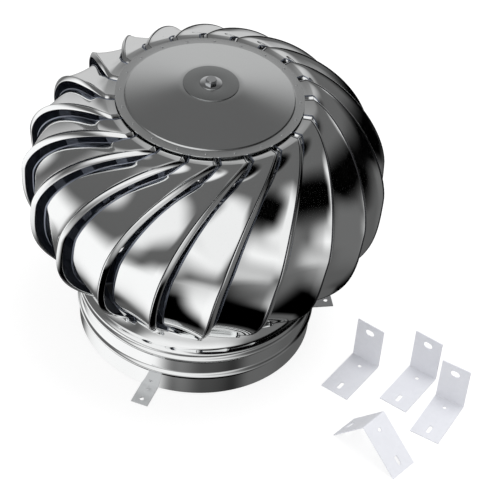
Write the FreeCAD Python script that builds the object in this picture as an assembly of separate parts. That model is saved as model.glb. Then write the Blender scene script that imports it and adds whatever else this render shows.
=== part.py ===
import FreeCAD, Part
import math
import os

from FreeCAD import Placement, Rotation, Vector

# A roof turbine ventilator of stainless sheet: a beaded collar with a fixed shaft on three arms, and a
# turning head of twenty curved vanes between a domed cap and a bottom ring, on two bearings.
# The origin is on the spin axis, on the plane that the lugs' undersides rest on. +Z is up.

# Sheet gauges
collar_sheet = 0.8
vane_sheet = 0.7
cap_sheet = 0.8
ring_sheet = 0.7
lug_sheet = 1.2
bracket_sheet = 1.2

# Gaps that the pieces are fitted with
slip_fit = 0.02
race_gap = 0.05
wall_gap = 0.1

# Collar: outer radii and the heights of what is rolled into it
collar_r = 150.0
collar_bottom_z = lug_sheet
bead_rise = 3.0
bead_half = 4.5
low_bead_z = 32.0
high_bead_z = 61.5
lip_bead_z = 71.5
lip_bead_half = 3.5
neck_inset = 10.7
neck_top_z = 93.0

# Fixed lugs
lug_count = 3
first_lug_deg = 13.0
lug_width = 22.0
lug_overhang = 34.0
lug_leg_height = 26.0
lug_hole_back = 8.5
lug_hole_r = 2.75

# Fixed shaft and the arms that carry it
shaft_r = 6.0
shaft_bottom_z = 30.0
boss_r = 12.0
arm_offset_deg = 60.0
arm_web = 2.5
arm_height = 20.0
arm_centre_z = 46.5
arm_foot_width = 24.0

# Bearings: a ring that runs on the shaft, inside its housing
bearing_outer_r = 14.0
bearing_width = 8.0
housing_wall = 2.5
housing_floor = 2.5
end_gap = 3.0

# Bolt that holds the cap on the upper housing
bolt_r = 4.0
bolt_head_flats = 13.0
bolt_head_height = 4.8
washer_r = 13.5
washer_thickness = 1.4

# Bottom ring and the spider that joins it to the lower housing
ring_overhang = 3.5
ring_width = 19.5
ring_top_z = 98.0
spider_sheet = 2.0
spider_arm_width = 18.0
spider_arm_lap = 15.0
spider_arm_count = 3
spider_hub_r = 26.0
spider_hole_r = 9.0
lower_housing_height = 14.0

# Cap
cap_top_z = 357.3
cap_r = 112.8
cap_flange_r = 101.9
cap_step_width = 1.2
cap_step_rise = 1.5
cap_flat_r = 36.0
cap_flat_z = 375.2
center_plate_r = 33.4
center_plate_sheet = 1.0
upper_housing_height = 16.0

# Vanes: how the free edge of one runs from the cap down to the ring
vane_count = 20
first_vane_deg = -47.2
belly_r = 223.0
belly_z = 249.4
tab_overhang = 10.6
upper_fullness = 1.68
upper_squareness = 0.607
lower_fullness = 3.28
lower_squareness = 1.4
vane_sweep_deg = 38.0
sweep_length = 74.2
vane_stations = 9
length_chords = 60
slope_step = 0.02
tab_lap = 14.8
flange_margin = 0.5
foot_margin = 1.5

# Vanes: the section across one, from the edge that is turned in under the neighbour to the hooked lip
tab_width_deg = 11.0
vane_width_deg = 14.8
foot_width_deg = 15.5
vane_dip = 16.0
foot_dip = 10.0
shoulder_deg = 4.0
shoulder_share = 0.25
flare_deg = 5.5
flare_depth = 4.5
foot_flare_depth = 2.5
hook_deg = 1.4
hook_depth = 5.5
foot_hook_depth = 2.0
widen_share = 0.25
flare_share = 0.08
narrow_share = 0.15

# Loose angle brackets that lie beside the ventilator
bracket_width = 39.0
bracket_long_leg = 74.0
bracket_short_leg = 64.0
bracket_hole_r = 2.5
bracket_hole_back = 15.0
bracket_slot_r = 2.4
bracket_slot_length = 13.0
bracket_slot_back = 15.0
bracket_eye_r = 4.6
bracket_eye_length = 12.5
bracket_eye_back = 14.0
near_bracket_x = 227.5
near_bracket_y = -62.0
near_bracket_deg = -122.0
far_bracket_x = 301.5
far_bracket_y = -73.5
far_bracket_deg = -121.5
front_bracket_x = 335.5
front_bracket_y = -119.0
front_bracket_deg = -116.5
tent_bracket_x = 240.0
tent_bracket_y = -212.0
tent_bracket_deg = 140.5

up = Vector(0, 0, 1)
axis_start = Vector(0, 0, 0)


def save(name, shape):
    shape.exportStep("parts/" + name + ".step")


def spun(points):
    """A solid turned about the axis from a closed outline of (radius, height) points."""
    corners = [Vector(r, 0, z) for r, z in points]
    outline = Part.makePolygon(corners + corners[:1])
    return Part.Face(outline).revolve(axis_start, up, 360)


def tube(inner_r, outer_r, low_z, high_z):
    return spun([(inner_r, low_z), (outer_r, low_z), (outer_r, high_z), (inner_r, high_z)])


def turned(shape, degrees):
    copy = shape.copy()
    copy.rotate(axis_start, up, degrees)
    return copy


def plate(outline, thickness, holes):
    """A flat sheet on the XY plane from a closed wire, with round or long holes as wires."""
    sheet = Part.Face(outline).extrude(Vector(0, 0, thickness))
    for hole in holes:
        sheet = sheet.cut(Part.Face(hole).extrude(Vector(0, 0, thickness)))
    return sheet


def round_hole(x, y, radius):
    return Part.Wire(Part.makeCircle(radius, Vector(x, y, 0)))


def long_hole(x, y, radius, length):
    """A slot that runs along Y, with its end-to-end length."""
    half = length / 2 - radius
    centre = Vector(x, y, 0)
    top_right = centre + Vector(radius, half, 0)
    top_left = centre + Vector(-radius, half, 0)
    low_left = centre + Vector(-radius, -half, 0)
    low_right = centre + Vector(radius, -half, 0)
    edges = [
        Part.Arc(top_right, centre + Vector(0, half + radius, 0), top_left),
        Part.LineSegment(top_left, low_left),
        Part.Arc(low_left, centre - Vector(0, half + radius, 0), low_right),
        Part.LineSegment(low_right, top_right),
    ]
    return Part.Wire([edge.toShape() for edge in edges])


def sheet_wall(points, thickness):
    """The (radius, height) outline of a turned sheet: the line through the points and its parallel inside."""
    inside = []
    for i, (r, z) in enumerate(points):
        before = points[max(i - 1, 0)]
        after = points[min(i + 1, len(points) - 1)]
        first = unit(r - before[0], z - before[1]) if i else unit(after[0] - r, after[1] - z)
        second = unit(after[0] - r, after[1] - z) if i < len(points) - 1 else first
        normal = unit(-first[1] - second[1], first[0] + second[0])
        stretch = thickness / (normal[0] * -first[1] + normal[1] * first[0])
        inside.append((r + normal[0] * stretch, z + normal[1] * stretch))
    return points + inside[::-1]


def unit(a, b):
    length = math.hypot(a, b)
    return a / length, b / length


def base_collar():
    """The throat: a plain skirt, two rolled beads, a beaded lip and a shoulder that leans in to the neck."""
    bead_r = collar_r + bead_rise
    inner_r = collar_r - collar_sheet
    neck_r = collar_r - neck_inset
    shoulder_z = lip_bead_z + lip_bead_half
    return spun([
        (collar_r, collar_bottom_z),
        (collar_r, low_bead_z - bead_half),
        (bead_r, low_bead_z),
        (collar_r, low_bead_z + bead_half),
        (collar_r, high_bead_z - bead_half),
        (bead_r, high_bead_z),
        (collar_r, high_bead_z + bead_half),
        (bead_r, lip_bead_z),
        (collar_r - bead_rise, shoulder_z),
        (neck_r, neck_top_z),
        (neck_r - collar_sheet, neck_top_z),
        (inner_r - bead_rise, shoulder_z - collar_sheet),
        (inner_r, lip_bead_z - collar_sheet),
        (inner_r, collar_bottom_z),
    ])


def mounting_lug(degrees):
    """An angle with one leg flat on the roof, outside the skirt, and one leg up inside it."""
    inner_x = flat_reach(lug_width) - lug_sheet
    outer_x = collar_r + lug_overhang
    half = lug_width / 2
    corners = [
        Vector(inner_x, -half, 0),
        Vector(outer_x, -half, 0),
        Vector(outer_x, half, 0),
        Vector(inner_x, half, 0),
    ]
    bolt_hole = round_hole(outer_x - lug_hole_back, 0, lug_hole_r)
    floor_leg = plate(Part.makePolygon(corners + corners[:1]), lug_sheet, [bolt_hole])
    wall_leg = Part.makeBox(lug_sheet, lug_width, lug_leg_height, Vector(inner_x, -half, 0))
    return turned(floor_leg.fuse(wall_leg).removeSplitter(), degrees)


def flat_reach(width):
    """How far out from the axis a flat leg of this width can stand inside the round skirt."""
    clear_r = collar_r - collar_sheet - wall_gap
    return math.sqrt(clear_r**2 - (width / 2) ** 2)


def crown_under_z():
    return cap_flat_z - cap_sheet


def lower_bearing_z():
    """The underside of the lower bearing, which is level with the top of the spider."""
    return ring_top_z - ring_sheet


def upper_bearing_z():
    return crown_under_z() - housing_floor - end_gap - bearing_width


def bearing_housings():
    """A sleeve on the spider for the lower bearing and a cup under the cap's crown for the upper one."""
    seat_r = bearing_outer_r + slip_fit
    outer_r = bearing_outer_r + housing_wall
    top_z = crown_under_z()
    sleeve = tube(seat_r, outer_r, lower_bearing_z(), lower_bearing_z() + lower_housing_height)
    cup = spun([
        (seat_r, top_z - upper_housing_height),
        (outer_r, top_z - upper_housing_height),
        (outer_r, top_z),
        (bolt_r + slip_fit, top_z),
        (bolt_r + slip_fit, top_z - housing_floor),
        (seat_r, top_z - housing_floor),
    ])
    return Part.makeCompound([sleeve, cup])


def bearing_outer_rings():
    """The two bearings, each as one ring with a running gap round the shaft."""
    seats = [lower_bearing_z(), upper_bearing_z()]
    bore_r = shaft_r + race_gap
    return Part.makeCompound([tube(bore_r, bearing_outer_r, z, z + bearing_width) for z in seats])


def brace_arm(degrees):
    """A web on edge from the shaft's boss to the skirt, with a flat foot against the wall."""
    foot_x = flat_reach(arm_foot_width)
    low_z = arm_centre_z - arm_height / 2
    web_corner = Vector(boss_r, -arm_web / 2, low_z)
    foot_corner = Vector(foot_x - arm_web, -arm_foot_width / 2, low_z)
    web = Part.makeBox(foot_x - boss_r, arm_web, arm_height, web_corner)
    foot = Part.makeBox(arm_web, arm_foot_width, arm_height, foot_corner)
    return turned(web.fuse(foot).removeSplitter(), degrees)


def fixed_shaft():
    """The standing shaft, with a boss that the arms meet."""
    boss_low_z = arm_centre_z - arm_height / 2
    top_z = crown_under_z() - housing_floor - end_gap / 2
    rod = Part.makeCylinder(shaft_r, top_z - shaft_bottom_z, Vector(0, 0, shaft_bottom_z))
    boss = Part.makeCylinder(boss_r, arm_height, Vector(0, 0, boss_low_z))
    return rod.fuse(boss).removeSplitter()


def ring_outer_r():
    return collar_r + ring_overhang


def ring_inner_r():
    return ring_outer_r() - ring_width


def rotor_spider():
    """A flat plate with arms that reach under the bottom ring."""
    low_z = ring_top_z - ring_sheet - spider_sheet
    length = ring_inner_r() + spider_arm_lap
    arm = Part.makeBox(length, spider_arm_width, spider_sheet, Vector(0, -spider_arm_width / 2, low_z))
    arms = [turned(arm, i * 360 / spider_arm_count) for i in range(spider_arm_count)]
    hub = Part.makeCylinder(spider_hub_r, spider_sheet, Vector(0, 0, low_z))
    shaft_hole = Part.makeCylinder(spider_hole_r, spider_sheet, Vector(0, 0, low_z))
    return hub.fuse(arms).cut(shaft_hole).removeSplitter()


def bottom_ring():
    return tube(ring_inner_r(), ring_outer_r(), ring_top_z - ring_sheet, ring_top_z)


def cap_dome():
    """A flat rim, a small step and a shallow cone up to a flat crown, all of one sheet."""
    bolt_hole_r = bolt_r + slip_fit
    step_r = cap_flange_r - cap_step_width
    step_z = cap_top_z + cap_step_rise
    outside = [
        (cap_r, cap_top_z),
        (cap_flange_r, cap_top_z),
        (step_r, step_z),
        (cap_flat_r, cap_flat_z),
        (bolt_hole_r, cap_flat_z),
    ]
    return spun(sheet_wall(outside, cap_sheet))


def cap_center_plate():
    return tube(bolt_r + slip_fit, center_plate_r, cap_flat_z, cap_flat_z + center_plate_sheet)


def washer_top_z():
    return cap_flat_z + center_plate_sheet + washer_thickness


def cap_washer():
    low_z = cap_flat_z + center_plate_sheet
    return tube(bolt_r + slip_fit, washer_r, low_z, washer_top_z())


def cap_bolt():
    """A hexagon bolt through the cap's crown into the upper housing."""
    seat_z = washer_top_z()
    corner_r = bolt_head_flats / math.sqrt(3)
    corners = [on_circle(corner_r, seat_z, math.radians(60 * i)) for i in range(7)]
    head = Part.Face(Part.makePolygon(corners)).extrude(up * bolt_head_height)
    low_z = crown_under_z() - housing_floor
    shank = Part.makeCylinder(bolt_r, seat_z - low_z, Vector(0, 0, low_z))
    return head.fuse(shank).removeSplitter()


def vane_foot_r():
    return ring_outer_r() - foot_margin


def meridian(share_down):
    """Radius and height of the head's outline, at a share of the way from the crown down to the foot."""
    level = math.cos(math.pi * share_down)
    if level >= 0:
        share = max(0.0, 1 - level**upper_fullness) ** upper_squareness
        crown_r = cap_r + tab_overhang
        crown_z = cap_top_z - cap_sheet
        return crown_r + (belly_r - crown_r) * share, belly_z + (crown_z - belly_z) * level
    share = max(0.0, 1 - (-level) ** lower_fullness) ** lower_squareness
    foot_z = ring_top_z + vane_sheet
    foot_r = vane_foot_r()
    return foot_r + (belly_r - foot_r) * share, belly_z + (belly_z - foot_z) * level


def meridian_length(share):
    """How far down the outline a station lies, measured along it."""
    chords = range(length_chords + 1)
    points = [meridian(share * i / length_chords) for i in chords]
    return sum(math.dist(a, b) for a, b in zip(points, points[1:]))


def eased(x):
    x = min(max(x, 0.0), 1.0)
    return x * x * (3 - 2 * x)


def vane_columns(share):
    """Each line that runs down the sheet, as (degrees behind the lip's crest, depth inside the outline)."""
    widen = eased(share / widen_share)
    rise = eased(share / flare_share)
    narrow = eased((share - 1 + narrow_share) / narrow_share)
    width = blend(blend(tab_width_deg, vane_width_deg, widen), foot_width_deg, narrow)
    dip = blend(vane_dip * widen, foot_dip, narrow)
    flare = blend(flare_depth * rise, foot_flare_depth, narrow)
    hook = blend(hook_depth * rise, foot_hook_depth, narrow)
    return [
        (width, dip),
        (width - shoulder_deg, blend(flare, dip, shoulder_share)),
        (flare_deg, flare),
        (0.0, 0.0),
        (-hook_deg, hook),
    ]


def blend(start, end, share):
    return start + (end - start) * share


def outline_normal(share):
    """The outward direction (radius, height) at a station: upright at the tab, level at the foot."""
    near = meridian(max(share - slope_step, 0))
    far = meridian(min(share + slope_step, 1))
    run = unit(far[0] - near[0], far[1] - near[1])
    return -run[1], run[0]


def vane_station(share):
    """Outer and inner points of the sheet at one station, one pair for each column."""
    r, z = meridian(share)
    sweep = -vane_sweep_deg * (1 - math.exp(-meridian_length(share) / sweep_length))
    normal = outline_normal(share)
    pairs = []
    for behind, depth in vane_columns(share):
        angle = math.radians(first_vane_deg + sweep - behind)
        skin = on_circle(r - depth * normal[0], z - depth * normal[1], angle)
        back = on_circle(r - (depth + vane_sheet) * normal[0], z - (depth + vane_sheet) * normal[1], angle)
        pairs.append((skin, back))
    return pairs


def on_circle(r, z, angle):
    return Vector(r * math.cos(angle), r * math.sin(angle), z)


def flat_pairs(radii, angles, top_z):
    """A level row of the sheet: top and bottom points at each radius and angle."""
    return [(on_circle(r, top_z, a), on_circle(r, top_z - vane_sheet, a)) for r, a in zip(radii, angles)]


def vane_rows():
    """The sheet from the tab under the cap's rim, down the curved face, to the flange on the bottom ring."""
    rows = [vane_station(i / vane_stations) for i in range(vane_stations + 1)]
    top_z = cap_top_z - cap_sheet
    foot_z = ring_top_z + vane_sheet
    crown_angles = [angle_of(pair[0]) for pair in rows[0]]
    foot_angles = [angle_of(pair[0]) for pair in rows[-1]]
    crown_radii = [radius_of(pair[0]) for pair in rows[0]]
    foot_radii = [vane_foot_r() - depth for behind, depth in vane_columns(1.0)]
    rows[0] = flat_pairs(crown_radii, crown_angles, top_z)
    rows[-1] = flat_pairs(foot_radii, foot_angles, foot_z)
    rows[-1] = [(skin, back - radial(back) * vane_sheet) for skin, back in rows[-1]]
    tab_radii = [cap_r - tab_lap] * len(crown_angles)
    flange_radii = [ring_outer_r() - flange_margin] * len(foot_angles)
    tab = flat_pairs(tab_radii, crown_angles, top_z)
    flange = flat_pairs(flange_radii, foot_angles, foot_z)
    return [tab] + rows + [flange]


def radial(point):
    return Vector(point.x, point.y, 0).normalize()


def angle_of(point):
    return math.atan2(point.y, point.x)


def radius_of(point):
    return math.hypot(point.x, point.y)


def facets(a, b, c, d):
    """Two flat facets that fill the corner points a, b, c, d in order round a patch."""
    return [Part.Face(Part.makePolygon([a, b, c, a])), Part.Face(Part.makePolygon([a, c, d, a]))]


def vane():
    """One vane as a closed sheet, with flat facets between its stations."""
    rows = vane_rows()
    columns = len(rows[0])
    faces = []
    for above, below in zip(rows, rows[1:]):
        for k in range(columns - 1):
            for side in (0, 1):
                faces += facets(above[k][side], above[k + 1][side], below[k + 1][side], below[k][side])
        for k in (0, columns - 1):
            faces += facets(above[k][0], above[k][1], below[k][1], below[k][0])
    for row in (rows[0], rows[-1]):
        for k in range(columns - 1):
            faces += facets(row[k][0], row[k + 1][0], row[k + 1][1], row[k][1])
    shell = Part.makeShell(faces)
    shell.sewShape()
    solid = Part.makeSolid(shell)
    if solid.Volume < 0:
        solid.reverse()
    return solid


def angle_bracket():
    """A loose angle with a round hole and a slot in its long leg, and a long eye in its short leg."""
    half = bracket_width / 2
    long_leg = Part.makeBox(bracket_long_leg, bracket_width, bracket_sheet, Vector(0, -half, 0))
    short_leg = Part.makeBox(bracket_sheet, bracket_width, bracket_short_leg, Vector(0, -half, 0))
    body = long_leg.fuse(short_leg).removeSplitter()
    holes = [
        round_hole(bracket_hole_back, 0, bracket_hole_r),
        long_hole(bracket_long_leg - bracket_slot_back, 0, bracket_slot_r, bracket_slot_length),
    ]
    for hole in holes:
        body = body.cut(Part.Face(hole).extrude(Vector(0, 0, bracket_sheet)))
    eye = Part.Face(long_hole(bracket_short_leg - bracket_eye_back, 0, bracket_eye_r, bracket_eye_length))
    eye.rotate(axis_start, Vector(0, 1, 0), -90)
    return body.cut(eye.extrude(Vector(bracket_sheet, 0, 0)))


def tent_bracket():
    """The same bracket stood on the ends of both legs, with its bend as the ridge."""
    body = angle_bracket()
    long_run = bracket_long_leg - bracket_sheet
    short_run = bracket_short_leg - bracket_sheet
    lean = 90 + math.degrees(math.atan2(long_run, short_run))
    body.rotate(axis_start, Vector(0, 1, 0), lean)
    body.translate(Vector(0, 0, -body.BoundBox.ZMin))
    box = body.BoundBox
    body.translate(Vector(-(box.XMin + box.XMax) / 2, 0, 0))
    body.rotate(axis_start, up, tent_bracket_deg)
    body.translate(Vector(tent_bracket_x, tent_bracket_y, 0))
    return body


def save_base():
    save("base_collar", base_collar())
    save("fixed_shaft", fixed_shaft())
    for i in range(lug_count):
        degrees = first_lug_deg + i * 360 / lug_count
        save(f"mounting_lug_{i + 1}", mounting_lug(degrees))
        save(f"brace_arm_{i + 1}", brace_arm(degrees + arm_offset_deg))


def lying_bracket(x, y, degrees):
    body = angle_bracket()
    body.Placement = Placement(Vector(x, y, 0), Rotation(up, degrees))
    return body


def save_brackets():
    save("loose_bracket_1", lying_bracket(near_bracket_x, near_bracket_y, near_bracket_deg))
    save("loose_bracket_2", lying_bracket(far_bracket_x, far_bracket_y, far_bracket_deg))
    save("loose_bracket_3", lying_bracket(front_bracket_x, front_bracket_y, front_bracket_deg))
    save("loose_bracket_4", tent_bracket())


def save_head():
    save("bearing_outer_rings", bearing_outer_rings())
    save("bearing_housings", bearing_housings())
    save("rotor_spider", rotor_spider())
    save("bottom_ring", bottom_ring())
    save("cap_dome", cap_dome())
    save("cap_center_plate", cap_center_plate())
    save("cap_washer", cap_washer())
    save("cap_bolt", cap_bolt())
    one_vane = vane()
    for i in range(vane_count):
        save(f"vane_{i + 1:02d}", turned(one_vane, i * 360 / vane_count))


os.makedirs("parts", exist_ok=True)
save_base()
save_brackets()
save_head()
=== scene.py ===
import math

import bpy
import numpy as np
from mathutils import Matrix, Vector

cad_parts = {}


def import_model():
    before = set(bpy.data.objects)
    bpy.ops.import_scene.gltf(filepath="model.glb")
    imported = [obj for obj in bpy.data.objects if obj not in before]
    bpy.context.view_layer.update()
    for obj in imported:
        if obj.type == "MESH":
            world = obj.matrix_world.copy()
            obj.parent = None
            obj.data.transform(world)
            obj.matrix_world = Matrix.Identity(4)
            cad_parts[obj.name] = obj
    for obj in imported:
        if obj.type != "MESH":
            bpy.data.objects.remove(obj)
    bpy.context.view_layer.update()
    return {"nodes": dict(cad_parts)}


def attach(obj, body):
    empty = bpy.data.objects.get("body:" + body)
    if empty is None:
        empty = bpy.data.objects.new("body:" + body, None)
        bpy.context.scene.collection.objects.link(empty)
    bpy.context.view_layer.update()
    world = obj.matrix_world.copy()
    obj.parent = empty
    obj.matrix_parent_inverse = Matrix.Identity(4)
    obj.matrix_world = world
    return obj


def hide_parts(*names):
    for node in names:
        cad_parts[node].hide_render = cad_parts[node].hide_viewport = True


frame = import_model()

# A roof turbine ventilator of polished stainless sheet, in the order it is put together: the collar with
# its lugs, the fixed shaft, the turning head on its bearings, the twenty vanes, the cap, the rivets, and
# the loose angle brackets that come with it. Sizes are in millimetres until a mesh is made.


# Collar. A rolled and seamed throat of 0.8 mm polished stainless: a plain skirt, two round beads that
# stiffen it, a beaded lip and a shoulder that leans in to the neck. The beads are hollow inside.

collar_sheet = 0.8
collar_r = 150.0
bead_rise = 3.0
collar_facets = 256


def mesh_from_quads(name, points, quads, sharp_deg, slots=None):
    """A smooth-shaded mesh of quads on points in millimetres. Points that meet are merged, a quad whose
    two corners meet becomes a triangle, and the faces point outwards: the volume that they enclose, the
    sum of the tetrahedra from each face to the origin, is made positive. Each quad takes the material
    of its slot number."""
    points, merged = np.unique(np.round(points, 4), axis=0, return_inverse=True)
    quads = merged.reshape(-1)[quads]
    a, b, c, d = (points[quads[:, k]] for k in range(4))
    volume = np.sum(np.cross(a, b) * c) + np.sum(np.cross(a, c) * d)
    if volume < 0:
        quads = quads[:, ::-1]
    keep = quads != np.roll(quads, -1, axis=1)
    keep &= keep.sum(1, keepdims=True) > 2
    whole = keep.sum(1) > 2
    sides = keep.sum(1)[whole]
    corners = quads[keep].astype(np.int32)
    mesh = bpy.data.meshes.new(name)
    mesh.vertices.add(len(points))
    mesh.vertices.foreach_set("co", (points / 1000).astype(np.float32).ravel())
    mesh.loops.add(len(corners))
    mesh.loops.foreach_set("vertex_index", corners)
    mesh.polygons.add(len(sides))
    mesh.polygons.foreach_set("loop_start", np.concatenate([[0], np.cumsum(sides)[:-1]]).astype(np.int32))
    mesh.polygons.foreach_set("use_smooth", np.ones(len(sides), bool))
    if slots is not None:
        mesh.polygons.foreach_set("material_index", slots[whole].astype(np.int32))
    mesh.update(calc_edges=True)
    mesh.validate()
    mesh.set_sharp_from_angle(angle=math.radians(sharp_deg))
    piece = bpy.data.objects.new(name, mesh)
    bpy.context.scene.collection.objects.link(piece)
    return piece


def grid_quads(rows, columns, wrap_rows=False, wrap_columns=False):
    """Corner numbers of the quads of a rows x columns grid: (i, j), (i, j+1), (i+1, j+1), (i+1, j). A
    wrapped side joins its last line to its first."""
    index = np.arange(rows * columns).reshape(rows, columns)
    if wrap_rows:
        index = np.concatenate([index, index[:1]], 0)
    if wrap_columns:
        index = np.concatenate([index, index[:, :1]], 1)
    return np.stack([index[:-1, :-1], index[:-1, 1:], index[1:, 1:], index[1:, :-1]], -1).reshape(-1, 4)


def lathe(name, profile, around, sharp_deg=35):
    """A body of revolution: x = r cos a, y = r sin a, z = h, for each (r, h) of a closed profile."""
    r, h = np.asarray(profile, float).T
    a = np.linspace(0, 2 * math.pi, around, endpoint=False)[:, None]
    points = np.stack([r * np.cos(a), r * np.sin(a), h + 0 * a], -1)
    return mesh_from_quads(name, points.reshape(-1, 3), grid_quads(around, len(r), True, True), sharp_deg)


def sheet_loop(line, thickness):
    """A closed profile: the line, and back along the same line moved to its left by the thickness."""
    along = np.gradient(line, axis=0)
    inward = np.stack([-along[:, 1], along[:, 0]], -1)
    inward /= np.linalg.norm(inward, axis=1, keepdims=True)
    return np.concatenate([line, (line + inward * thickness)[::-1]])


def bead(z, half, rise, steps=13):
    """A round bead's outline: from its middle the radius falls from the rise to none as half of one plus
    the cosine of the way across, raised to a power that keeps its crown full."""
    h = np.linspace(-half, half, steps)
    return np.stack([collar_r + rise * (0.5 + 0.5 * np.cos(math.pi * h / half)) ** 0.8, z + h], -1)


collar_line = np.concatenate([
    [[collar_r, 1.2], [collar_r, 2.0], [collar_r, 26.0]],
    bead(32.0, 5.0, bead_rise),
    [[collar_r, 38.0], [collar_r, 55.0]],
    bead(61.0, 5.0, bead_rise),
    [[collar_r + 0.1, 66.6]],
    bead(71.5, 3.8, bead_rise)[:10],
    [[148.9, 75.6], [147.2, 76.4], [146.0, 78.0], [142.6, 86.0], [139.5, 92.8]],
])
collar = lathe("collar_shell", sheet_loop(collar_line, collar_sheet), collar_facets)
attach(collar, "base")
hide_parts("base_collar")


def metal(name, color, roughness, smear, dents, dent_scale=14.0, anisotropic=0.0):
    """Metal sheet whose colour and roughness drift a little with a slow noise, with a shallow bump of
    wide dents from forming. Brushed round the axis where it is anisotropic."""
    material = bpy.data.materials.new(name)
    material.use_nodes = True
    nodes, links = material.node_tree.nodes, material.node_tree.links
    shader = nodes["Principled BSDF"]
    shader.inputs["Metallic"].default_value = 1.0
    place = nodes.new("ShaderNodeTexCoord")
    drift = nodes.new("ShaderNodeTexNoise")
    drift.inputs["Scale"].default_value = 9.0
    drift.inputs["Detail"].default_value = 3.0
    tone = nodes.new("ShaderNodeMix")
    tone.data_type = "RGBA"
    tone.inputs["A"].default_value = (*[c * 0.95 for c in color], 1)
    tone.inputs["B"].default_value = (*color, 1)
    gloss = nodes.new("ShaderNodeMapRange")
    gloss.inputs["To Min"].default_value = roughness * (1 - smear)
    gloss.inputs["To Max"].default_value = roughness * (1 + smear)
    wide = nodes.new("ShaderNodeTexNoise")
    wide.inputs["Scale"].default_value = dent_scale
    wide.inputs["Detail"].default_value = 1.0
    bump = nodes.new("ShaderNodeBump")
    bump.inputs["Distance"].default_value = 0.001
    bump.inputs["Strength"].default_value = dents
    for texture in (drift, wide):
        links.new(place.outputs["Object"], texture.inputs["Vector"])
    links.new(drift.outputs["Fac"], tone.inputs["Factor"])
    links.new(tone.outputs["Result"], shader.inputs["Base Color"])
    links.new(drift.outputs["Fac"], gloss.inputs["Value"])
    links.new(gloss.outputs["Result"], shader.inputs["Roughness"])
    links.new(wide.outputs["Fac"], bump.inputs["Height"])
    links.new(bump.outputs["Normal"], shader.inputs["Normal"])
    if anisotropic:
        shader.inputs["Anisotropic"].default_value = anisotropic
        tangent = nodes.new("ShaderNodeTangent")
        tangent.direction_type = "RADIAL"
        tangent.axis = "Z"
        links.new(tangent.outputs["Tangent"], shader.inputs["Tangent"])
    return material


collar_finish = metal("collar_polished_sheet", (0.96, 0.97, 0.97), 0.06, 0.4, 0.06)
collar.data.materials.append(collar_finish)


# Lugs. Three angles of 1.2 mm sheet: one leg lies on the roof outside the skirt, with a bolt hole and a
# small pilot hole, and the other stands inside the skirt, where a rivet holds it.

lug_sheet = 1.2
lug_width = 22.0
lug_inner_r = 147.3
lug_end_r = 184.0
lug_leg_height = 26.0
lug_bend_r = 1.7
lug_degs = [13.0, 133.0, 253.0]
lug_bolt_hole = (175.5, 2.75)
lug_pilot_hole = (156.8, 1.0)


def box_edge(low_u, high_u, half_width, per_side):
    """Points once round a rectangle in a flat blank, the same number evenly along each side."""
    t = np.linspace(0, 1, per_side, endpoint=False)
    u = np.concatenate([
        low_u + (high_u - low_u) * t, high_u + 0 * t, high_u + (low_u - high_u) * t, low_u + 0 * t,
    ])
    v = np.concatenate([
        -half_width + 0 * t, (2 * t - 1) * half_width, half_width + 0 * t, (1 - 2 * t) * half_width,
    ])
    return np.stack([u, v], -1)


def holed_patch(low_u, high_u, half_width, centre_u, radius, length_u=0.0, length_v=0.0, per_side=16):
    """A rectangle of the blank with a hole: each ring runs between the hole's edge and the rectangle's
    edge. The hole's edge is a circle whose halves are moved apart along the slot by its spare length."""
    edge = box_edge(low_u, high_u, half_width, per_side)
    turn = np.arctan2(edge[:, 1], edge[:, 0] - centre_u)
    spread_u = np.sign(np.round(np.cos(turn), 6)) * max(length_u / 2 - radius, 0)
    spread_v = np.sign(np.round(np.sin(turn), 6)) * max(length_v / 2 - radius, 0)
    hole = np.stack([centre_u + radius * np.cos(turn) + spread_u, radius * np.sin(turn) + spread_v], -1)
    share = np.array([0, 0.06, 0.3, 1.0])[:, None, None]
    rings = hole + (edge - hole) * share
    return rings.reshape(-1, 2), grid_quads(4, 4 * per_side, wrap_columns=True)


def plain_patch(low_u, high_u, half_width, along, per_side=16):
    """A rectangle of the blank with no hole, as a plain grid."""
    u = np.linspace(low_u, high_u, along)[:, None]
    v = np.linspace(-half_width, half_width, per_side + 1)
    points = np.stack([u + 0 * v, v + 0 * u], -1)
    return points.reshape(-1, 2), grid_quads(along, per_side + 1)


def bent_sheet(patches, bend_r, thickness):
    """An angle folded from a flat blank: two skins and the rim along every edge that one quad alone uses.

    Along the blank, u above the half bend is the level leg, below its negative the upright leg, and
    between them the point runs a quarter turn round the bend's centre. The outer skin is at depth 0 and
    the inner one at the thickness. Returns points (along the level leg, across, up) and quads."""
    flat = np.concatenate([p for p, _ in patches])
    starts = np.cumsum([0] + [len(p) for p, _ in patches[:-1]])
    quads = np.concatenate([q + s for (_, q), s in zip(patches, starts)])
    flat, merged = np.unique(np.round(flat, 4), axis=0, return_inverse=True)
    quads = merged.reshape(-1)[quads]
    half = bend_r * math.pi / 4
    u, v = flat.T
    turn = -math.pi / 2 - math.pi / 2 * np.clip((half - u) / (2 * half), 0, 1)
    skins = [
        np.stack([
            bend_r + (bend_r - depth) * np.cos(turn) + np.maximum(u - half, 0),
            v,
            bend_r + (bend_r - depth) * np.sin(turn) + np.maximum(-u - half, 0),
        ], -1)
        for depth in (0.0, thickness)
    ]
    count = len(flat)
    edges = np.stack([quads, np.roll(quads, -1, axis=1)], -1).reshape(-1, 2)
    _, first, uses = np.unique(np.sort(edges, axis=1), axis=0, return_index=True, return_counts=True)
    a, b = edges[first[uses == 1]].T
    rim = np.stack([b, a, a + count, b + count], -1)
    return np.concatenate(skins), np.concatenate([quads, quads[:, ::-1] + count, rim])


def turned(points, degrees):
    """Points turned about the Z axis."""
    c, s = math.cos(math.radians(degrees)), math.sin(math.radians(degrees))
    return points @ np.array([[c, s, 0], [-s, c, 0], [0, 0, 1]])


def lug_u(radius):
    """Where a radius of the level leg lies along the blank."""
    return radius - lug_inner_r - lug_bend_r + lug_bend_r * math.pi / 4


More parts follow.
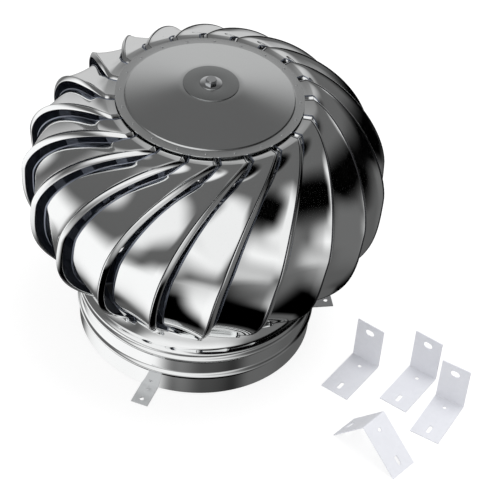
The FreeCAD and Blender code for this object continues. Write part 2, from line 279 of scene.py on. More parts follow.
lug_half_bend = lug_bend_r * math.pi / 4
lug_seam_r = 165.5
lug_points, lug_quads = bent_sheet([
    plain_patch(-(lug_leg_height - lug_bend_r + lug_half_bend), -lug_half_bend, lug_width / 2, 4),
    plain_patch(-lug_half_bend, lug_half_bend, lug_width / 2, 7),
    holed_patch(lug_half_bend, lug_u(lug_seam_r), lug_width / 2, lug_u(lug_pilot_hole[0]), lug_pilot_hole[1]),
    holed_patch(lug_u(lug_seam_r), lug_u(lug_end_r), lug_width / 2, lug_u(lug_bolt_hole[0]), lug_bolt_hole[1]),
], lug_bend_r, lug_sheet)
lug_finish = metal("lug_mill_sheet", (0.66, 0.67, 0.68), 0.32, 0.3, 0.1, 60.0)
for i, degrees in enumerate(lug_degs):
    placed = turned(lug_points + [lug_inner_r, 0, 0], degrees)
    lug = mesh_from_quads(f"lug_{i + 1}", placed, lug_quads, 30)
    lug.data.materials.append(lug_finish)
    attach(lug, "base")
    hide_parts(f"mounting_lug_{i + 1}")


# Fixed shaft and running gear. The shaft is bright turned bar on three mill-finish arms; the head's
# spider, housings and bearings turn round it. The CAD solids have their real shape and stay.

shaft_finish = metal("shaft_bright_bar", (0.66, 0.67, 0.68), 0.22, 0.3, 0.02, 120.0)
arm_finish = metal("arm_mill_steel", (0.46, 0.47, 0.48), 0.4, 0.3, 0.12, 50.0)
bearing_finish = metal("bearing_ground_steel", (0.7, 0.71, 0.72), 0.15, 0.3, 0.02, 120.0)


def refinish(node, material):
    """Gives a CAD node its finish."""
    frame["nodes"][node].data.materials.clear()
    frame["nodes"][node].data.materials.append(material)


refinish("fixed_shaft", shaft_finish)
refinish("bearing_outer_rings", bearing_finish)
for node in ["brace_arm_1", "brace_arm_2", "brace_arm_3", "bearing_housings", "rotor_spider"]:
    refinish(node, arm_finish)


# Bottom ring. A flat blanked ring of polished sheet, which the vanes' flanges are riveted to. Its outer
# part lies under the flanges, so its edge is drawn where theirs begin.

ring_inner_r, ring_edge_r, ring_low_z, ring_top_z = 134.0, 143.0, 97.3, 98.0
ring_finish = metal("ring_polished_sheet", (0.8, 0.81, 0.81), 0.1, 0.4, 0.06)
ring_profile = [
    (ring_inner_r, ring_low_z), (ring_edge_r, ring_low_z),
    (ring_edge_r, ring_top_z), (ring_inner_r, ring_top_z),
]
ring = lathe("bottom_ring_sheet", ring_profile, 192)
ring.data.materials.append(ring_finish)
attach(ring, "turbine")
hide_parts("bottom_ring")


# Vanes. Twenty curved blades of 0.7 mm mirror-polished stainless. Each has a level tab under the cap's
# rim, a full face scooped up to a hemmed lip, a fold and turned-in wall under the next vane's lip, and a
# flange on the bottom ring.

vane_count = 20
vane_pitch = 18.0
vane_sheet = 0.7
first_vane_deg = -47.2
crown_r, crown_z = 123.4, 356.5
belly_r, belly_z = 222.6, 249.4
foot_r, foot_z = 152.0, 98.7
tab_inner_r, flange_outer_r, flange_taper = 98.0, 153.0, 9.0
vane_sweep_deg, sweep_length = 38.0, 74.2
tab_width_deg, waist_width_deg, face_width_deg, foot_width_deg = 14.2, 13.2, 14.8, 15.5
upper_slant, belly_slant, foot_slant = 7.5, 1.0, 3.5
belly_scoop, foot_scoop, scoop_turn = 11.0, 3.0, 0.82
flare_depth, flare_share = 1.0, 0.18
wall_height, tab_wall_height, foot_wall_height, wall_slant = 16.0, 9.0, 4.0, 0.75
fold_r, fold_bead_r = 1.6, 0.9
crease_deg, crease_depth = 0.45, 0.7
crest_r, hook_width, hook_lean_deg, hook_end_r = 1.5, 6.2, 32.0, 0.7
tab_sunk, tab_sunk_r, tab_sunk_run = 1.6, 112.0, 22.0
tab_rise, upper_share, flare_run = 0.08, 0.11, 0.1
widen_from, widen_run = 0.06, 0.14
narrow_from, narrow_run = 0.85, 0.15
unslant_from, unslant_run = 0.1, 0.35
foot_slant_from, foot_slant_run = 0.5, 0.3
scoop_lead, scoop_run = 0.03, 0.48
unscoop_from, unscoop_run = 0.6, 0.4
lip_crowding, crest_entry, bead_entry, bead_exit = 1.3, 0.6, 0.6, 0.5
hook_spread_deg, hook_end_deg, hook_foot_cut = 8.0, 200.0, 0.65


def eased(x):
    """0 below 0, 1 above 1, and 3x^2 - 2x^3 between."""
    x = np.clip(x, 0, 1)
    return x * x * (3 - 2 * x)


def head_outline(share):
    """Radius and height of the head at a share of the way from the crown down to the foot.

    With level = the cosine of pi times the share: above the belly the radius grows from the crown's by
    (1 - level^1.68)^0.607, below it from the foot's by (1 - level^3.28)^1.4."""
    level = np.cos(math.pi * share)
    high, low = np.clip(level, 0, 1), np.clip(-level, 0, 1)
    upper_r = crown_r + (belly_r - crown_r) * np.clip(1 - high**1.68, 0, 1) ** 0.607
    lower_r = foot_r + (belly_r - foot_r) * np.clip(1 - low**3.28, 0, 1) ** 1.4
    upper_z = belly_z + (crown_z - belly_z) * high
    lower_z = belly_z - (belly_z - foot_z) * low
    return np.where(level >= 0, upper_r, lower_r), np.where(level >= 0, upper_z, lower_z)


def bend(start, radius, lean_from, lean_to, steps):
    """Points of an arc that goes on from a start point: across = the start's plus radius times the change of
    the lean's sine, inward = the start's minus radius times the change of its cosine."""
    lean = lean_from + (lean_to - lean_from) * np.linspace(0, 1, steps + 1)[1:]
    across = start[0] + radius * (np.sin(lean) - np.sin(lean_from))
    inward = start[1] - radius * (np.cos(lean) - np.cos(lean_from))
    return across, inward


def vane_grid():
    """The vane's outer skin, rows from the tab's inner edge to the flange's outer edge, columns from the
    turned-in edge, over the fold, across the face, over the crest and down the hook.

    A row is at a share of the outline, and each part grows or fades over its own stretch of shares. Its
    points are at millimetres ahead of the crest and inside the outline, and the row is swept by 38 degrees
    times 1 - exp(-length / 74.2). The face is scooped: its depth is the slant times the way from the crest
    to the fold, plus the scoop times 1 - (1 - way / 0.82)^2, plus a short flare of the same form at the lip."""
    rows = np.concatenate([
        np.linspace(0, 0.1, 15)[:-1], np.linspace(0.1, 0.9, 46)[:-1], np.linspace(0.9, 1, 11),
    ])
    fine = np.linspace(0, 1, 2000)
    fine_r, fine_z = head_outline(fine)
    fine_length = np.concatenate([[0], np.cumsum(np.hypot(np.diff(fine_r), np.diff(fine_z)))])
    r, z = head_outline(rows)
    length = np.interp(rows, fine, fine_length)
    tab_r = np.array([tab_inner_r, 106.0, 112.0, 118.0])
    r, z = np.concatenate([tab_r, r]), np.concatenate([0 * tab_r + crown_z, z])
    rows, length = np.concatenate([0 * tab_r, rows]), np.concatenate([0 * tab_r, length])
    run = np.stack([np.gradient(r), np.gradient(z)], -1)
    run /= np.linalg.norm(run, axis=1, keepdims=True)
    run[-1] = (0, -1)
    rows, r, z, length = (x[:, None] for x in (rows, r, z, length))
    widen, rise = eased((rows - widen_from) / widen_run), eased(rows / tab_rise)
    narrow = eased((rows - narrow_from) / narrow_run)
    mm_per_deg = math.pi / 180 * r
    width = tab_width_deg + (waist_width_deg - tab_width_deg) * rise
    width += (face_width_deg - waist_width_deg) * widen
    width += (foot_width_deg - face_width_deg) * narrow
    slant = upper_slant * eased(rows / upper_share)
    slant -= (upper_slant - belly_slant) * eased((rows - unslant_from) / unslant_run)
    slant += (foot_slant - belly_slant) * eased((rows - foot_slant_from) / foot_slant_run)
    scoop = belly_scoop * eased((rows + scoop_lead) / scoop_run)
    scoop -= (belly_scoop - foot_scoop) * eased((rows - unscoop_from) / unscoop_run)
    flare = flare_depth * eased(rows / flare_run)
    wall = tab_wall_height + (wall_height - tab_wall_height) * rise + (foot_wall_height - wall_height) * narrow
    hook = 1 - hook_foot_cut * narrow

    span = (width - crease_deg) * mm_per_deg
    way = np.linspace(1, 0, 31)[:-1] ** lip_crowding
    face_t = -crease_deg * mm_per_deg - span * way
    face_n = crease_depth + slant * way + scoop * (1 - (1 - way / scoop_turn) ** 2)
    face_n += flare * (1 - (1 - np.minimum(way / flare_share, 1)) ** 2)
    fold_lean = np.arctan((slant + 2 * scoop / scoop_turn * (1 - 1 / scoop_turn)) / span)
    bead_from, bead_to = -fold_lean - bead_entry, -fold_lean + bead_exit
    wall_lean = -math.pi / 2 + wall_slant + 0 * r
    bead_t, bead_n = bend((face_t[:, :1], face_n[:, :1]), -fold_bead_r, bead_from, bead_to, 4)
    roll_t, roll_n = bend((bead_t[:, -1:], bead_n[:, -1:]), -fold_r, bead_to, wall_lean, 6)
    way = np.array([0.3, 0.65, 1.0])
    wall_t = roll_t[:, -1:] - wall * math.sin(wall_slant) * way
    wall_n = roll_n[:, -1:] + wall * math.cos(wall_slant) * way
    inner_t = np.concatenate([bead_t, roll_t, wall_t], 1)[:, ::-1]
    inner_n = np.concatenate([bead_n, roll_n, wall_n], 1)[:, ::-1]

    top_lean = -np.arctan((slant + 2 * scoop / scoop_turn + 2 * flare / flare_share) / span)
    hook_from = math.radians(hook_lean_deg - hook_spread_deg)
    hook_to = math.radians(hook_lean_deg + hook_spread_deg)
    crease_end = (-crease_deg * mm_per_deg, crease_depth + 0 * r)
    crest_t, crest_n = bend(crease_end, crest_r, top_lean - crest_entry, 0 * r + hook_from, 8)
    band = hook * hook_width * np.array([0.25, 0.5, 0.75, 1.0])
    band_share = np.array([0.12, 0.37, 0.62, 0.87])
    band_lean = np.radians(hook_lean_deg - hook_spread_deg + 2 * hook_spread_deg * band_share)
    band_t = crest_t[:, -1:] + np.cumsum(np.diff(band, prepend=0) * np.cos(band_lean), axis=1)
    band_n = crest_n[:, -1:] + np.cumsum(np.diff(band, prepend=0) * np.sin(band_lean), axis=1)
    band_end = (band_t[:, -1:], band_n[:, -1:])
    end_t, end_n = bend(band_end, hook_end_r, hook_to + 0 * r, math.radians(hook_end_deg) + 0 * r, 5)

    across = np.concatenate([inner_t, face_t, crest_t, band_t, end_t], 1)
    depth = np.concatenate([inner_n, face_n, crest_n, band_n, end_n], 1)
    depth += tab_sunk * (1 - eased((r - tab_sunk_r) / tab_sunk_run))
    radius = r + depth * run[:, 1:]
    height = z - depth * run[:, :1]
    sweep = -vane_sweep_deg * (1 - np.exp(-length / sweep_length))
    angle = np.radians(first_vane_deg + sweep + across / mm_per_deg)
    foot = np.minimum(radius[-1:], flange_outer_r)
    taper = flange_taper * np.clip(-across[-1:] / (foot_width_deg * mm_per_deg[-1]), 0, 1)
    end = np.maximum(foot, flange_outer_r - taper)
    radius = np.concatenate([radius, (foot + end) / 2, end])
    angle = np.concatenate([angle, angle[-1:], angle[-1:]])
    height = np.concatenate([height, 0 * foot + foot_z, 0 * foot + foot_z])
    return np.stack([radius * np.cos(angle), radius * np.sin(angle), height], -1)


def closed_sheet(skin, thickness, crease):
    """A skin and its copy moved along the surface's normal, joined round all four sides, with a slot number
    for each quad: 1 on the copy, 2 in the crease, where the slot's dark metal is painted shade, and 0
    elsewhere. The normal is the cross product of the differences along rows and columns."""
    across, down = np.gradient(skin, axis=1), np.gradient(skin, axis=0)
    normal = np.cross(down, across)
    normal /= np.maximum(np.linalg.norm(normal, axis=-1, keepdims=True), 1e-9)
    rows, columns, _ = skin.shape
    loop = np.concatenate([skin, (skin - normal * thickness)[:, ::-1]], 1)
    quads = grid_quads(rows, 2 * columns, wrap_columns=True)
    k = np.arange(columns - 1)
    start = np.stack([k, 2 * columns - 1 - k, 2 * columns - 2 - k, k + 1], -1)
    end = start[:, ::-1] + (rows - 1) * 2 * columns
    slot = np.where(np.arange(2 * columns) >= columns, 1, 0)
    slot[crease] = 2
    slots = np.concatenate([np.tile(slot, rows - 1), np.zeros(2 * len(k), int)])
    return loop.reshape(-1, 3), np.concatenate([quads, start, end]), slots


# The quads where the face meets the lip's crest get painted shade: a dark strip for the shade in that crease.
crease_painted_shade_columns = slice(42, 46)
vane_points, vane_quads, vane_slots = closed_sheet(vane_grid(), vane_sheet, crease_painted_shade_columns)
vane_finish = metal("vane_mirror_polish", (0.96, 0.97, 0.97), 0.05, 0.4, 0.05)
# The back of the sheet is its mill side; its dark blue tint is painted shade for the gaps between the vanes.
vane_back_shade_tinted = metal("vane_mill_back_shade_tint", (0.30, 0.33, 0.40), 0.38, 0.3, 0.08)
# A near-black metal on the crease quads: painted shade along each lip's crease.
crease_shade_finish = metal("vane_crease_painted_shade", (0.06, 0.06, 0.065), 0.3, 0.3, 0.05)
for i in range(vane_count):
    placed = turned(vane_points, i * vane_pitch)
    vane = mesh_from_quads(f"vane_blade_{i + 1:02d}", placed, vane_quads, 40, vane_slots)
    for finish in (vane_finish, vane_back_shade_tinted, crease_shade_finish):
        vane.data.materials.append(finish)
    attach(vane, "turbine")
    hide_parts(f"vane_{i + 1:02d}")


# Cap. A spun disc of satin stainless with a flat rim, a small step and a shallow cone, a flat disc over
# its crown, and a domed washer under the hexagon bolt that holds it to the upper housing.

cap_sheet = 0.8
cap_top_z = 357.3
cap_crown_z = 375.2
bolt_hole_r = 4.1


def rounded(corners, radii, steps=6):
    """A line through the corners with the inner ones rounded: a quadratic curve between the points that
    lie the radius before and after each."""
    corners = np.asarray(corners, float)
    t = np.linspace(0, 1, steps)[:, None]
    line = [corners[:1]]
    for before, corner, after, radius in zip(corners, corners[1:], corners[2:], radii):
        start = corner + (before - corner) * min(radius / np.linalg.norm(before - corner), 0.49)
        end = corner + (after - corner) * min(radius / np.linalg.norm(after - corner), 0.49)
        line.append((1 - t) ** 2 * start + 2 * t * (1 - t) * corner + t**2 * end)
    return np.concatenate(line + [corners[-1:]])


cap_rim_r, cap_step_r, cap_step_top_r, cap_step, cap_flat_r = 112.75, 101.9, 100.7, 1.5, 36.0
cap_line = rounded(
    [
        (cap_rim_r, cap_top_z), (cap_step_r, cap_top_z), (cap_step_top_r, cap_top_z + cap_step),
        (cap_flat_r, cap_crown_z), (bolt_hole_r, cap_crown_z),
    ],
    [0.8, 0.8, 5.0],
)
cap_finish = metal("cap_satin_sheet", (0.74, 0.75, 0.75), 0.22, 0.15, 0.03, 30.0)
cap = lathe("cap_cone", sheet_loop(cap_line, cap_sheet), 256, 25)
cap.data.materials.append(cap_finish)
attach(cap, "turbine")
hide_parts("cap_dome")

disc_r, disc_top_z = 33.4, 376.2
disc_loop = rounded(
    [
        (bolt_hole_r, 375.7), (bolt_hole_r, disc_top_z), (disc_r, disc_top_z),
        (disc_r, cap_crown_z), (bolt_hole_r, cap_crown_z), (bolt_hole_r, 375.6),
    ],
    [0.05, 0.5, 0.05, 0.05],
)
disc = lathe("cap_disc", disc_loop, 128, 40)
disc.data.materials.append(metal("cap_disc_satin", (0.44, 0.45, 0.45), 0.24, 0.15, 0.03, 30.0))
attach(disc, "turbine")
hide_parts("cap_center_plate")

bolt_head_z = 377.6
washer_loop = rounded(
    [
        (bolt_hole_r, 377.0), (bolt_hole_r, bolt_head_z), (8.5, bolt_head_z), (13.2, 376.75),
        (13.4, disc_top_z), (bolt_hole_r, disc_top_z), (bolt_hole_r, 376.9),
    ],
    [0.05, 2.0, 0.3, 0.05, 0.05],
)
bolt_finish = metal("bolt_bright_steel", (0.7, 0.71, 0.72), 0.12, 0.3, 0.02, 200.0)
washer = lathe("cap_domed_washer", washer_loop, 96, 40)
washer.data.materials.append(bolt_finish)
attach(washer, "turbine")
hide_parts("cap_washer")

bolt_flats, bolt_head_top, bolt_shank_r, bolt_low_z = 13.0, 382.4, 4.0, 371.9
chamfer_r, chamfer_slope = 5.9, 0.55


def hexagon_bolt():
    """A bolt by height and angle: the shank is a circle; the head's radius is half the flats over the
    cosine of the angle from the nearest flat's middle, and its top edge falls by the chamfer's slope
    outside the flats' circle."""
    a = np.linspace(0, 2 * math.pi, 96, endpoint=False)[:, None]
    from_flat = (a + math.pi / 6) % (math.pi / 3) - math.pi / 6
    hexagon = bolt_flats / 2 / np.cos(from_flat)
    chamfer_z = bolt_head_top - chamfer_slope * (hexagon - chamfer_r)
    ring = 0 * a
    r = np.concatenate([
        ring, ring + bolt_shank_r, ring + bolt_shank_r, hexagon, hexagon, ring + chamfer_r, ring,
    ], 1)
    z = np.concatenate([
        ring + bolt_low_z, ring + bolt_low_z, ring + bolt_head_z, ring + bolt_head_z,
        chamfer_z, ring + bolt_head_top, ring + bolt_head_top,
    ], 1)
    return np.stack([r * np.cos(a), r * np.sin(a), z], -1).reshape(-1, 3), grid_quads(96, 7, wrap_rows=True)


bolt = mesh_from_quads("cap_hexagon_bolt", *hexagon_bolt(), 20)
bolt.data.materials.append(bolt_finish)
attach(bolt, "turbine")
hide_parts("cap_bolt")


# Rivets. Small domed heads: one on each vane's tab through the cap's rim, one on each vane's flange, and
# one on the skirt above each lug.

rivet_finish = metal("rivet_bright_head", (0.78, 0.79, 0.8), 0.16, 0.3, 0.02, 200.0)


def rivet_heads(name, centres, outward, radius, height):
    """Domed heads on a surface: each is half an ellipse turned about its outward direction, from a short
    skirt sunk in the sheet to its top, on axes made by cross products with a direction that isn't it."""
    t = np.linspace(0, math.pi / 2, 5)
    r = np.concatenate([[0, radius], radius * np.cos(t)])[:, None]
    h = np.concatenate([[-0.3, -0.3], height * np.sin(t)])[:, None]
    a = np.linspace(0, 2 * math.pi, 16, endpoint=False)
    outward = np.asarray(outward, float)
    outward = outward / np.linalg.norm(outward, axis=1, keepdims=True)
    side = np.cross(outward, [0.31, 0.17, 0.93] if abs(outward[0, 2]) < 0.9 else [1.0, 0, 0])
    side /= np.linalg.norm(side, axis=1, keepdims=True)
    other = np.cross(outward, side)
    dome = (
        (r * np.cos(a))[None, ..., None] * side[:, None, None]
        + (r * np.sin(a))[None, ..., None] * other[:, None, None]
        + (h + 0 * a)[None, ..., None] * outward[:, None, None]
        + np.asarray(centres, float)[:, None, None]
    )
    count, rows, columns, _ = dome.shape
    quads = grid_quads(rows, columns, wrap_columns=True)
    quads = (quads[None] + (np.arange(count) * rows * columns)[:, None, None]).reshape(-1, 4)
    piece = mesh_from_quads(name, dome.reshape(-1, 3), quads, 50)
    piece.data.materials.append(rivet_finish)
    return piece


def on_circle(radius, first_deg, count, pitch, z):
    """Evenly turned points on a level circle."""
    a = np.radians(first_deg + pitch * np.arange(count))
    return np.stack([radius * np.cos(a), radius * np.sin(a), z + 0 * a], -1)


rim_rivet_r, rim_rivet_deg = 107.0, 2.0
flange_rivet_r, flange_rivet_deg = 150.6, 6.3
skirt_rivet_z = 9.0
upwards = [[0, 0, 1]] * vane_count
rim_centres = on_circle(rim_rivet_r, rim_rivet_deg, vane_count, vane_pitch, cap_top_z)
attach(rivet_heads("cap_rim_rivets", rim_centres, upwards, 1.6, 0.9), "turbine")
foot_centres = on_circle(flange_rivet_r, flange_rivet_deg, vane_count, vane_pitch, foot_z)
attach(rivet_heads("flange_rivets", foot_centres, upwards, 1.7, 1.1), "turbine")
skirt_centres = on_circle(collar_r, lug_degs[0], 3, 120.0, skirt_rivet_z)
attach(rivet_heads("skirt_rivets", skirt_centres, skirt_centres * [1, 1, 0], 1.7, 1.0), "base")


# Loose brackets. Four folded angles of zinc-plated sheet, with a round hole and a slot in the long leg and
# a long eye in the short leg. Three lie on their long legs and one stands on both ends.

bracket_sheet = 1.2
bracket_bend_r = 2.4
bracket_width, bracket_long, bracket_short = 39.0, 74.0, 64.0
bracket_half_bend = bracket_bend_r * math.pi / 4
long_end_u = bracket_long - bracket_bend_r + bracket_half_bend
short_end_u = -(bracket_short - bracket_bend_r + bracket_half_bend)


def leg_u(distance):
    """Where a distance from the bend's outer corner lies along the blank, on the long leg."""
    return distance - bracket_bend_r + bracket_half_bend


bracket_points, bracket_quads = bent_sheet([
    plain_patch(-leg_u(28.0), -bracket_half_bend, bracket_width / 2, 4),
    holed_patch(short_end_u, -leg_u(28.0), bracket_width / 2, -leg_u(bracket_short - 14.0), 4.6, length_v=12.5),
    plain_patch(-bracket_half_bend, bracket_half_bend, bracket_width / 2, 9),
    holed_patch(bracket_half_bend, leg_u(30.0), bracket_width / 2, leg_u(15.0), 2.5),
    holed_patch(leg_u(30.0), long_end_u, bracket_width / 2, leg_u(bracket_long - 15.0), 2.4, length_u=13.0),
], bracket_bend_r, bracket_sheet)


def zinc_sheet():
    """Zinc-plated sheet: a pale bluish metal, satin, with faint spangle cells in its tone and roughness."""
    material = bpy.data.materials.new("bracket_zinc_sheet")
    material.use_nodes = True
    nodes, links = material.node_tree.nodes, material.node_tree.links
    shader = nodes["Principled BSDF"]
    shader.inputs["Metallic"].default_value = 0.08
    place = nodes.new("ShaderNodeTexCoord")
    spangle = nodes.new("ShaderNodeTexVoronoi")
    spangle.inputs["Scale"].default_value = 180.0
    tone = nodes.new("ShaderNodeMix")
    tone.data_type = "RGBA"
    tone.inputs["A"].default_value = (0.80, 0.81, 0.86, 1)
    tone.inputs["B"].default_value = (0.82, 0.83, 0.88, 1)
    gloss = nodes.new("ShaderNodeMapRange")
    gloss.inputs["To Min"].default_value = 0.3
    gloss.inputs["To Max"].default_value = 0.4
    grain = nodes.new("ShaderNodeTexNoise")
    grain.inputs["Scale"].default_value = 900.0
    bump = nodes.new("ShaderNodeBump")
    bump.inputs["Distance"].default_value = 0.0002
    bump.inputs["Strength"].default_value = 0.15
    split = nodes.new("ShaderNodeSeparateColor")
    for texture in (spangle, grain):
        links.new(place.outputs["Object"], texture.inputs["Vector"])
    links.new(spangle.outputs["Color"], split.inputs["Color"])
    links.new(split.outputs["Red"], tone.inputs["Factor"])
    links.new(tone.outputs["Result"], shader.inputs["Base Color"])
    links.new(split.outputs["Green"], gloss.inputs["Value"])
    links.new(gloss.outputs["Result"], shader.inputs["Roughness"])
    links.new(grain.outputs["Fac"], bump.inputs["Height"])
    links.new(bump.outputs["Normal"], shader.inputs["Normal"])
    return material


bracket_finish = zinc_sheet()
lying_places = [(227.5, -62.0, -122.0), (301.5, -73.5, -121.5), (335.5, -119.0, -116.5)]
tent_place = (240.0, -212.0, 140.5)


def stood_up(points):
    """The bracket leant back until the ends of both legs are level, with its lowest point at 0 and its
    middle over the Z axis."""
    lean = math.pi / 2 + math.atan2(bracket_long - bracket_sheet, bracket_short - bracket_sheet)
    c, s = math.cos(lean), math.sin(lean)
    points = points @ np.array([[c, 0, -s], [0, 1, 0], [s, 0, c]])
    low, high = points.min(0), points.max(0)
    return points - [(low[0] + high[0]) / 2, 0, low[2]]


bracket_places = [turned(bracket_points, deg) + [x, y, 0] for x, y, deg in lying_places]
bracket_places.append(turned(stood_up(bracket_points), tent_place[2]) + [tent_place[0], tent_place[1], 0])
for i, placed in enumerate(bracket_places):
    bracket = mesh_from_quads(f"angle_bracket_{i + 1}", placed, bracket_quads, 30)
    bracket.data.materials.append(bracket_finish)
    bracket.visible_glossy = False
    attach(bracket, "base")
    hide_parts(f"loose_bracket_{i + 1}")


# Studio. A pale floor with a dark disc of painted shade under the throat, a large soft lamp overhead, and
# round it all a tent of white boxes and black flags between dark walls. Glossy rays alone see the tent, so
# it is what the polished sheet mirrors, and the camera sees plain white.

floor_half, floor_drop = 4000.0, 0.05
floor_corners = floor_half * np.array([[-1, -1, 0], [1, -1, 0], [1, 1, 0], [-1, 1, 0.0]]) - [0, 0, floor_drop]
floor = mesh_from_quads("studio_floor", floor_corners, np.array([[0, 1, 2, 3]]), 30)
if floor.data.polygons[0].normal.z < 0:
    floor.data.flip_normals()
floor_finish = bpy.data.materials.new("studio_floor_white")
floor_finish.use_nodes = True
floor_nodes, floor_links = floor_finish.node_tree.nodes, floor_finish.node_tree.links
floor_nodes.remove(floor_nodes["Principled BSDF"])
paper = floor_nodes.new("ShaderNodeBsdfDiffuse")
paper.inputs["Color"].default_value = (0.8, 0.8, 0.8, 1)
seen_paper = floor_nodes.new("ShaderNodeBsdfDiffuse")
seen_paper.inputs["Color"].default_value = (0.3, 0.3, 0.3, 1)
glow = floor_nodes.new("ShaderNodeEmission")
glow.inputs["Strength"].default_value = 0.78
seen = floor_nodes.new("ShaderNodeAddShader")
pick = floor_nodes.new("ShaderNodeMixShader")
ray = floor_nodes.new("ShaderNodeLightPath")
floor_links.new(seen_paper.outputs[0], seen.inputs[0])
floor_links.new(glow.outputs[0], seen.inputs[1])
floor_links.new(ray.outputs["Is Camera Ray"], pick.inputs[0])
floor_links.new(paper.outputs[0], pick.inputs[1])
floor_links.new(seen.outputs[0], pick.inputs[2])
floor_links.new(pick.outputs[0], floor_nodes["Material Output"].inputs["Surface"])
floor.data.materials.append(floor_finish)
floor.visible_glossy = False

# A dark disc of painted shade on the floor inside the throat, where little light comes in; glossy rays see it
# too.
shade = lathe("painted_shade_disc_in_throat", [(0.0, -0.04), (145.0, -0.04), (145.0, -0.02), (0.0, -0.02)], 64)
throat_shade_finish = bpy.data.materials.new("throat_painted_shade")
throat_shade_finish.use_nodes = True
throat_shade_shader = throat_shade_finish.node_tree.nodes["Principled BSDF"]
throat_shade_shader.inputs["Base Color"].default_value = (0.10, 0.11, 0.14, 1)
throat_shade_shader.inputs["Roughness"].default_value = 0.9
shade.data.materials.append(throat_shade_finish)

lamp_data = bpy.data.lights.new("key_lamp", "AREA")
lamp_data.shape = "DISK"
lamp_data.size = 1.6
lamp_data.energy = 30.0
lamp = bpy.data.objects.new("key_lamp", lamp_data)
lamp_from, lamp_to = Vector((0.5, 0.1, 2.6)), Vector((0.05, -0.05, 0.15))
lamp_turn = (lamp_to - lamp_from).to_track_quat("-Z", "Y").to_matrix().to_4x4()
lamp.matrix_world = Matrix.Translation(lamp_from) @ lamp_turn
lamp.visible_glossy = False
bpy.context.scene.collection.objects.link(lamp)

# The studio tent: soft boxes and black flags on a raster of 15 degrees, each row being compass
# degrees from +X (-90 is the camera's side, 180 its left), height and roll in degrees, half width and half
# height in units of its distance, softness of its edge, and tone. A later one stands before the earlier.
low_wall_tone, high_wall_tone = 0.1, 0.13
front_box = (-90, 15, 0, 0.8, 0.3, 0.8, 1.0)
high_left_box = (-120, 45, 45, 0.6, 0.6, 0.5, 0.9)
left_box = (180, -30, 0, 0.7, 0.5, 0.5, 1.0)
low_left_card = (-135, -45, 0, 0.4, 0.4, 0.8, 1.0)
low_front_card = (-60, -15, 0, 0.6, 0.3, 0.6, 0.6)
back_wall = (90, 0, 0, 0.6, 0.7, 0.8, 0.6)
high_right_flag = (-15, 45, -45, 1.0, 0.4, 0.5, 0.0)
right_flag = (30, 0, -45, 0.5, 0.4, 0.5, 0.0)
right_wall = (-15, -15, 0, 0.4, 0.6, 0.5, 0.15)
floor_flag = (-75, -75, 0, 0.5, 0.5, 0.3, 0.0)
panels = [
    front_box, high_left_box, left_box, low_left_card, low_front_card,
    back_wall, high_right_flag, right_flag, right_wall, floor_flag,
]

world = bpy.data.worlds.new("studio_tent")
world.use_nodes = True
bpy.context.scene.world = world
sky_nodes, sky_links = world.node_tree.nodes, world.node_tree.links
heading = sky_nodes.new("ShaderNodeTexCoord").outputs["Generated"]


def sky_math(operation, a, b=None):
    """One math node over sockets or numbers."""
    node = sky_nodes.new("ShaderNodeMath")
    node.operation = operation
    for socket, value in zip(node.inputs, (a, b)):
        if isinstance(value, bpy.types.NodeSocket):
            sky_links.new(value, socket)
        elif value is not None:
            socket.default_value = value
    return node.outputs[0]


def sky_dot(direction):
    """How far the ray goes along a direction."""
    node = sky_nodes.new("ShaderNodeVectorMath")
    node.operation = "DOT_PRODUCT"
    sky_links.new(heading, node.inputs[0])
    node.inputs[1].default_value = direction
    return node.outputs["Value"]


def sky_fade(value, half, softness):
    """1 inside the half size and 0 outside, smooth over the softness round its edge."""
    node = sky_nodes.new("ShaderNodeMapRange")
    node.interpolation_type = "SMOOTHSTEP"
    node.inputs["From Min"].default_value = half - softness / 2
    node.inputs["From Max"].default_value = half + softness / 2
    node.inputs["To Min"].default_value = 1.0
    node.inputs["To Max"].default_value = 0.0
    sky_links.new(sky_math("ABSOLUTE", value), node.inputs["Value"])
    return node.outputs["Result"]


def before(behind, compass, height, roll, half_width, half_height, softness, tone):
    """What is seen with one more panel set up: the ray is divided by its way along the panel's facing, so
    that what is left is where it meets the panel's plane, and the tone fades out at each side."""
    a, e, q = math.radians(compass), math.radians(height), math.radians(roll)
    facing = Vector((math.cos(e) * math.cos(a), math.cos(e) * math.sin(a), math.sin(e)))
    level = Vector((-math.sin(a), math.cos(a), 0))
    upward = facing.cross(level)
    across = level * math.cos(q) + upward * math.sin(q)
    along = upward * math.cos(q) - level * math.sin(q)
    ahead = sky_dot(facing)
    safe = sky_math("MAXIMUM", ahead, 0.001)
    cover = sky_math(
        "MULTIPLY",
        sky_fade(sky_math("DIVIDE", sky_dot(across), safe), half_width, softness),
        sky_fade(sky_math("DIVIDE", sky_dot(along), safe), half_height, softness),
    )
    cover = sky_math("MULTIPLY", cover, sky_math("GREATER_THAN", ahead, 0.001))
    node = sky_nodes.new("ShaderNodeMix")
    sky_links.new(cover, node.inputs["Factor"])
    if isinstance(behind, bpy.types.NodeSocket):
        sky_links.new(behind, node.inputs["A"])
    else:
        node.inputs["A"].default_value = behind
    node.inputs["B"].default_value = tone
    return node.outputs["Result"]


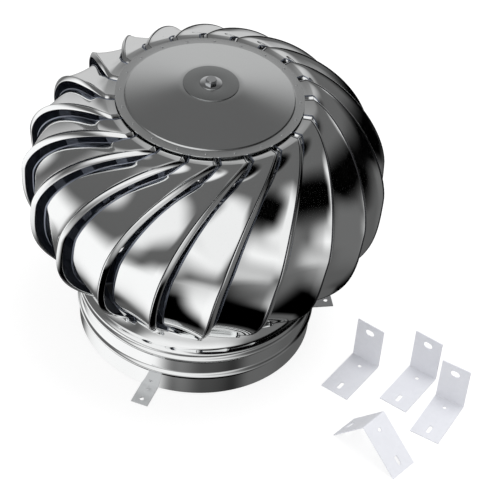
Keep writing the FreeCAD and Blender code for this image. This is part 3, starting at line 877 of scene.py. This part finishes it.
rise = sky_math("ADD", sky_math("MULTIPLY", sky_dot((0, 0, 1)), 0.5), 0.5)
mirrored = sky_math("ADD", sky_math("MULTIPLY", rise, high_wall_tone - low_wall_tone), low_wall_tone)
for panel in panels:
    mirrored = before(mirrored, *panel)

sky_ray = sky_nodes.new("ShaderNodeLightPath")
tent = sky_nodes.new("ShaderNodeMix")
tent.data_type = "RGBA"
tent.inputs["A"].default_value = (0.85, 0.85, 0.85, 1)
sky_links.new(sky_ray.outputs["Is Glossy Ray"], tent.inputs["Factor"])
sky_links.new(mirrored, tent.inputs["B"])
white = sky_nodes.new("ShaderNodeMix")
white.data_type = "RGBA"
white.inputs["B"].default_value = (1, 1, 1, 1)
sky_links.new(sky_ray.outputs["Is Camera Ray"], white.inputs["Factor"])
sky_links.new(tent.outputs["Result"], white.inputs["A"])
sky_links.new(white.outputs["Result"], sky_nodes["Background"].inputs["Color"])


# Camera. Long lens, looking down at 43 degrees with a slight roll, as the photograph was framed.

lens_pixels, frame_pixels, sensor_mm = 1879.3, 500.0, 36.0
tilt, roll = math.radians(42.965), math.radians(-5.6346)
distance, aim_z, shift_right, shift_up = 2.4, 0.1, 0.064856, 0.011039
forward = Vector((0, math.cos(tilt), -math.sin(tilt)))
right = Vector((1, 0, 0))
upright = Vector((0, math.sin(tilt), math.cos(tilt)))
eye = Vector((0, 0, aim_z)) + right * shift_right + upright * shift_up - forward * distance
camera_x = right * math.cos(roll) - upright * math.sin(roll)
camera_y = right * math.sin(roll) + upright * math.cos(roll)
camera_data = bpy.data.cameras.new("photo_camera")
camera_data.sensor_width = sensor_mm
camera_data.lens = lens_pixels * sensor_mm / frame_pixels
camera_data.clip_end = 50
camera = bpy.data.objects.new("photo_camera", camera_data)
camera.matrix_world = Matrix([
    [camera_x.x, camera_y.x, -forward.x, eye.x],
    [camera_x.y, camera_y.y, -forward.y, eye.y],
    [camera_x.z, camera_y.z, -forward.z, eye.z],
    [0, 0, 0, 1],
])
bpy.context.scene.collection.objects.link(camera)
bpy.context.scene.camera = camera
bpy.context.scene.view_settings.view_transform = "Standard"
